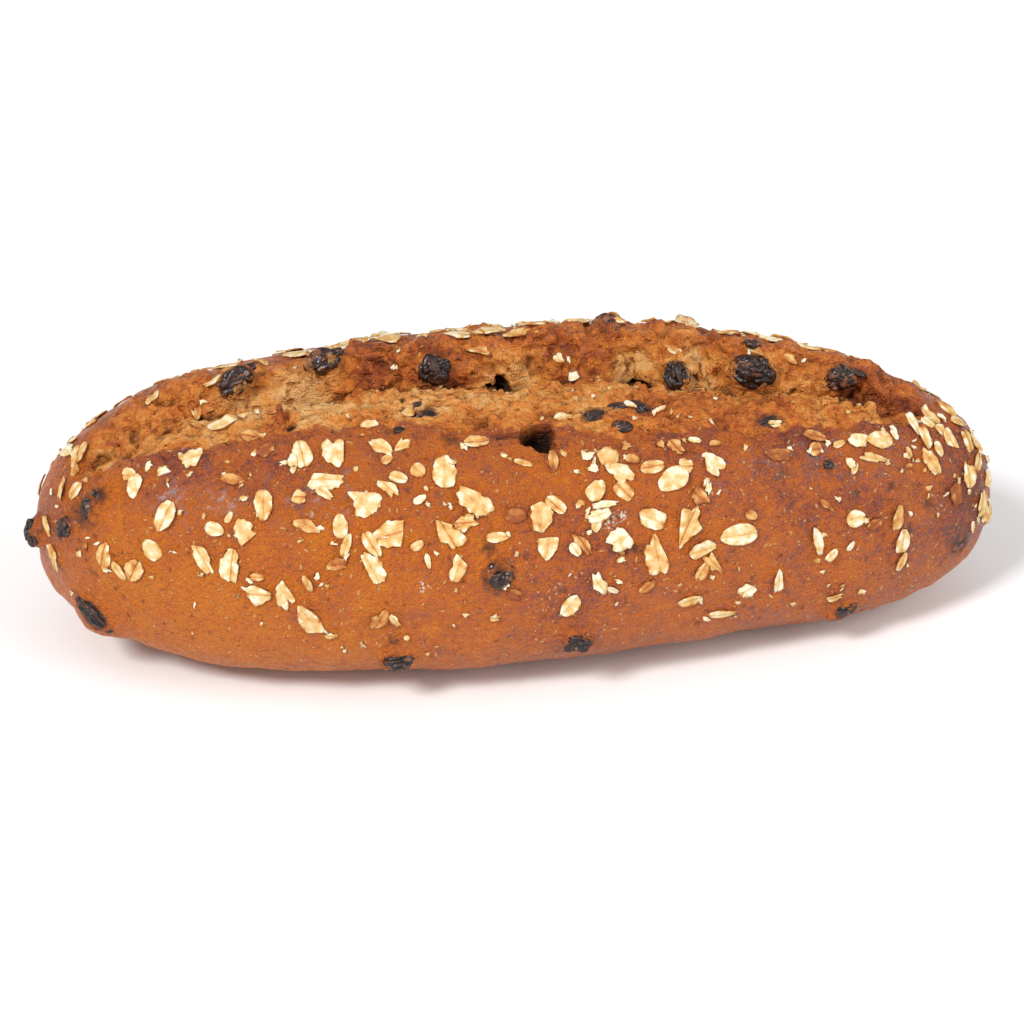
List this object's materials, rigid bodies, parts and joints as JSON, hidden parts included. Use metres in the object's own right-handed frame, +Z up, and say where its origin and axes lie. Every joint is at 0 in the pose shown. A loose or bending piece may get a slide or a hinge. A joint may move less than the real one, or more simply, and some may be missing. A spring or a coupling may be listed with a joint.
{
  "type": "fruited bloomer loaf",
  "caption": "Long hand-shaped loaf with a burst slash along its top, baked-in raisins and rolled oats on its crust.",
  "frame": {"origin": "middle of the flat base, under the middle of the loaf's overall box", "axes": "+X along the loaf towards its narrower end, +Y away from the slash's open front lip, +Z up from the base"},
  "size_m": [0.2576, 0.105, 0.0788],
  "materials": {
    "crust": "satin baked crust",
    "raisin": "wrinkled satin skin",
    "oat": "dry matt flake"
  },
  "bodies": {
    "root": {"loaf": "crust", "raisin_01": "raisin", "raisin_02": "raisin", "raisin_03": "raisin", "raisin_04": "raisin", "raisin_05": "raisin", "raisin_06": "raisin", "raisin_07": "raisin", "raisin_08": "raisin", "raisin_09": "raisin", "raisin_10": "raisin", "raisin_11": "raisin", "raisin_12": "raisin", "raisin_13": "raisin", "raisin_14": "raisin", "raisin_15": "raisin", "raisin_16": "raisin", "raisin_17": "raisin", "raisin_18": "raisin", "raisin_19": "raisin", "raisin_20": "raisin", "oat_flake_01": "oat", "oat_flake_02": "oat", "oat_flake_03": "oat", "oat_flake_04": "oat", "oat_flake_05": "oat", "oat_flake_06": "oat", "oat_flake_07": "oat", "oat_flake_08": "oat", "oat_flake_09": "oat", "oat_flake_10": "oat", "oat_flake_11": "oat", "oat_flake_12": "oat", "oat_flake_13": "oat", "oat_flake_14": "oat", "oat_flake_15": "oat", "oat_flake_16": "oat", "oat_flake_17": "oat", "oat_flake_18": "oat", "oat_flake_19": "oat", "oat_flake_20": "oat", "oat_flake_21": "oat", "oat_flake_22": "oat", "oat_flake_23": "oat", "oat_flake_24": "oat", "oat_flake_25": "oat", "oat_flake_26": "oat", "oat_flake_27": "oat", "oat_flake_28": "oat", "oat_flake_29": "oat", "oat_flake_30": "oat", "oat_flake_31": "oat", "oat_flake_32": "oat", "oat_flake_33": "oat", "oat_flake_34": "oat", "oat_flake_35": "oat", "oat_flake_36": "oat"}
  },
  "joints": []
}
